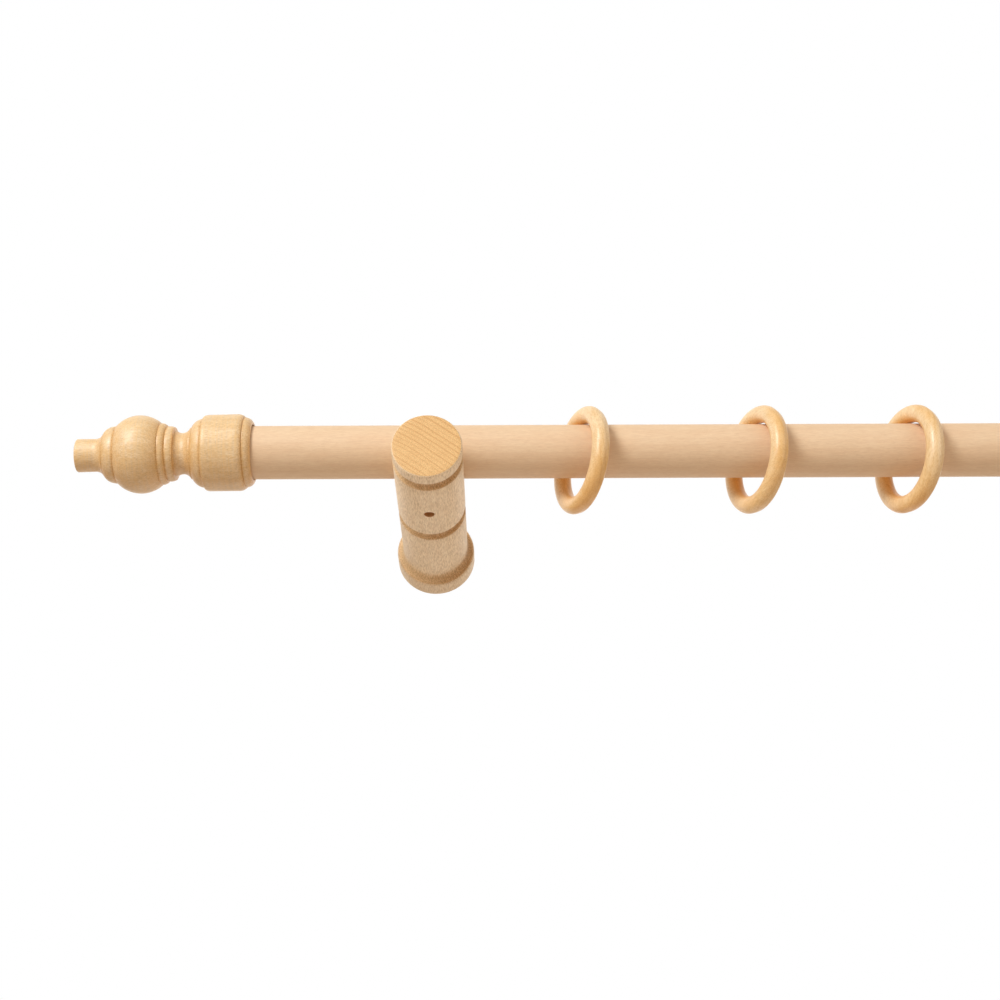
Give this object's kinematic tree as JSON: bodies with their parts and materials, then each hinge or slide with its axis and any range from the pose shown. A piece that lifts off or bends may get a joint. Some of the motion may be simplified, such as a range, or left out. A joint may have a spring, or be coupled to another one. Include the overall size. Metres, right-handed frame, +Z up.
{
  "type": "curtain rod with brackets",
  "caption": "Wooden curtain rod lying in two turned wall brackets, with turned push-on finials and plain sliding wooden rings.",
  "frame": {"origin": "on the wall plane, midway between the two brackets and level with the axes of their arms and hanger bolts", "axes": "+X along the rod to the right as seen from the room, +Y into the wall, +Z up"},
  "size_m": [1.3308, 0.171, 0.0639],
  "materials": {
    "rod_beech": "raw sanded beech, matt, pale pinkish",
    "bracket_beech": "raw turned beech with fine flecks, burnt grooves",
    "finial_beech": "lacquered turned beech, satin",
    "ring_beech": "lacquered turned beech, satin",
    "zinc_steel": "bright zinc plated",
    "yellow_zinc_steel": "yellow zinc plated"
  },
  "bodies": {
    "rail": {"curtain_rod": "rod_beech", "bracket_arm_left": "bracket_beech", "bracket_arm_right": "bracket_beech", "rod_lock_screw_left": "zinc_steel", "rod_lock_screw_right": "zinc_steel", "threaded_insert_left": "yellow_zinc_steel", "threaded_insert_right": "yellow_zinc_steel", "hanger_bolt_left": "zinc_steel", "hanger_bolt_right": "zinc_steel"},
    "ring_01": {"ring_01": "ring_beech"},
    "ring_02": {"ring_02": "ring_beech"},
    "ring_03": {"ring_03": "ring_beech"},
    "ring_04": {"ring_04": "ring_beech"},
    "ring_05": {"ring_05": "ring_beech"},
    "ring_06": {"ring_06": "ring_beech"},
    "ring_07": {"ring_07": "ring_beech"},
    "ring_08": {"ring_08": "ring_beech"},
    "ring_09": {"ring_09": "ring_beech"},
    "ring_10": {"ring_10": "ring_beech"},
    "finial_left": {"finial_left": "finial_beech"},
    "finial_right": {"finial_right": "finial_beech"}
  },
  "joints": [
    {"name": "ring_01_slide", "type": "slide", "parent": "rail", "child": "ring_01", "axis": [1, 0, 0], "range_m": [-0.045, 0.077]},
    {"name": "ring_02_slide", "type": "slide", "parent": "rail", "child": "ring_02", "axis": [1, 0, 0], "range_m": [-0.077, 0.065]},
    {"name": "ring_03_slide", "type": "slide", "parent": "rail", "child": "ring_03", "axis": [1, 0, 0], "range_m": [-0.065, 0.076]},
    {"name": "ring_04_slide", "type": "slide", "parent": "rail", "child": "ring_04", "axis": [1, 0, 0], "range_m": [-0.076, 0.076]},
    {"name": "ring_05_slide", "type": "slide", "parent": "rail", "child": "ring_05", "axis": [1, 0, 0], "range_m": [-0.076, 0.076]},
    {"name": "ring_06_slide", "type": "slide", "parent": "rail", "child": "ring_06", "axis": [1, 0, 0], "range_m": [-0.076, 0.076]},
    {"name": "ring_07_slide", "type": "slide", "parent": "rail", "child": "ring_07", "axis": [1, 0, 0], "range_m": [-0.076, 0.076]},
    {"name": "ring_08_slide", "type": "slide", "parent": "rail", "child": "ring_08", "axis": [1, 0, 0], "range_m": [-0.076, 0.076]},
    {"name": "ring_09_slide", "type": "slide", "parent": "rail", "child": "ring_09", "axis": [1, 0, 0], "range_m": [-0.076, 0.076]},
    {"name": "ring_10_slide", "type": "slide", "parent": "rail", "child": "ring_10", "axis": [1, 0, 0], "range_m": [-0.076, 0.045]},
    {"name": "finial_left_pull", "type": "slide", "parent": "rail", "child": "finial_left", "axis": [-1, 0, 0], "range_m": [0, 0.03]},
    {"name": "finial_right_pull", "type": "slide", "parent": "rail", "child": "finial_right", "axis": [1, 0, 0], "range_m": [0, 0.03]}
  ]
}
